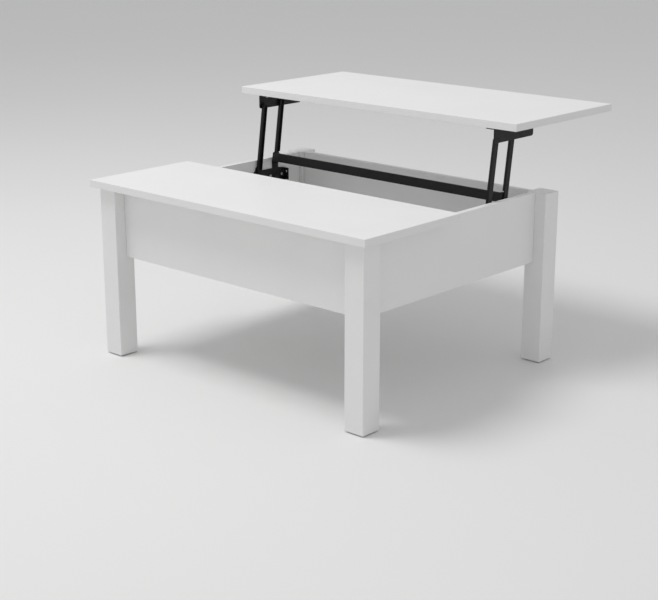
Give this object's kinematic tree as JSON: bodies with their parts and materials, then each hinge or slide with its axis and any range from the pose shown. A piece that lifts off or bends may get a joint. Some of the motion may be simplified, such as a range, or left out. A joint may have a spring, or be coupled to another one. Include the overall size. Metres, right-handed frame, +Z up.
{
  "type": "lift top coffee table",
  "caption": "White square coffee table whose rear top half rises on black steel parallelogram arms over a storage box, shown raised.",
  "frame": {"origin": "on the floor, under the middle of the table's footprint with the top raised", "axes": "+Z up, X along the tops' long edges, +Y towards the rear, where the raised half swings out; -X is the left side"},
  "size_m": [0.9, 0.9354, 0.6243],
  "materials": {
    "white_board": "satin white melamine on particle board",
    "black_steel": "black powder coat",
    "zinc_steel": "bright zinc plating",
    "white_plastic": "moulded white plastic",
    "grey_felt": "pressed felt"
  },
  "bodies": {
    "base": {"apron_front": "white_board", "apron_left": "white_board", "apron_rear": "white_board", "apron_right": "white_board", "base_bracket_left": "black_steel", "base_bracket_right": "black_steel", "base_pin_front_left": "black_steel", "base_pin_front_right": "black_steel", "base_pin_rear_left": "black_steel", "base_pin_rear_right": "black_steel", "base_screw_left_1": "zinc_steel", "base_screw_left_2": "zinc_steel", "base_screw_left_3": "zinc_steel", "base_screw_right_1": "zinc_steel", "base_screw_right_2": "zinc_steel", "base_screw_right_3": "zinc_steel", "fixed_top": "white_board", "floor_batten_front": "white_board", "floor_batten_rear": "white_board", "foot_glide_front_left": "white_plastic", "foot_glide_front_right": "white_plastic", "foot_glide_rear_left": "white_plastic", "foot_glide_rear_right": "white_plastic", "leg_front_left": "white_board", "leg_front_right": "white_board", "leg_rear_left": "white_board", "leg_rear_right": "white_board", "lift_spring_left": "zinc_steel", "lift_spring_right": "zinc_steel", "stop_stud_left": "black_steel", "stop_stud_right": "black_steel", "storage_floor": "white_board", "top_support_rail": "white_board"},
    "rear_arms": {"crossbar": "black_steel", "crossbar_plate_left": "black_steel", "crossbar_plate_right": "black_steel", "rear_arm_left": "black_steel", "rear_arm_right": "black_steel"},
    "front_arm_left": {"front_arm_left": "black_steel", "spring_post_left": "black_steel"},
    "front_arm_right": {"front_arm_right": "black_steel", "spring_post_right": "black_steel"},
    "lift_top": {"felt_pad_left": "grey_felt", "felt_pad_right": "grey_felt", "lift_top": "white_board", "top_bracket_left": "black_steel", "top_bracket_right": "black_steel", "top_pin_front_left": "black_steel", "top_pin_front_right": "black_steel", "top_pin_rear_left": "black_steel", "top_pin_rear_right": "black_steel", "top_screw_left_1": "zinc_steel", "top_screw_left_2": "zinc_steel", "top_screw_left_3": "zinc_steel", "top_screw_right_1": "zinc_steel", "top_screw_right_2": "zinc_steel", "top_screw_right_3": "zinc_steel"}
  },
  "joints": [
    {"name": "lift", "type": "hinge", "parent": "base", "child": "rear_arms", "pos_m": [0, 0.11925, 0.41996], "axis": [1, 0, 0], "range_deg": [0, 97.5]},
    {"name": "top_level", "type": "hinge", "parent": "rear_arms", "child": "lift_top", "pos_m": [0, 0.14374, 0.59425], "axis": [1, 0, 0], "range_deg": [-97.5, 0]},
    {"name": "front_arm_left_swing", "type": "hinge", "parent": "base", "child": "front_arm_left", "pos_m": [0, 0.05325, 0.40396], "axis": [1, 0, 0], "range_deg": [0, 97.5], "deforming": ["lift_spring_left"]},
    {"name": "front_arm_right_swing", "type": "hinge", "parent": "base", "child": "front_arm_right", "pos_m": [0, 0.05325, 0.40396], "axis": [1, 0, 0], "range_deg": [0, 97.5], "deforming": ["lift_spring_right"]}
  ],
  "couplings": [
    {"joint": "top_level", "follows": "lift", "ratio": -1},
    {"joint": "front_arm_left_swing", "follows": "lift", "ratio": 1},
    {"joint": "front_arm_right_swing", "follows": "lift", "ratio": 1}
  ]
}
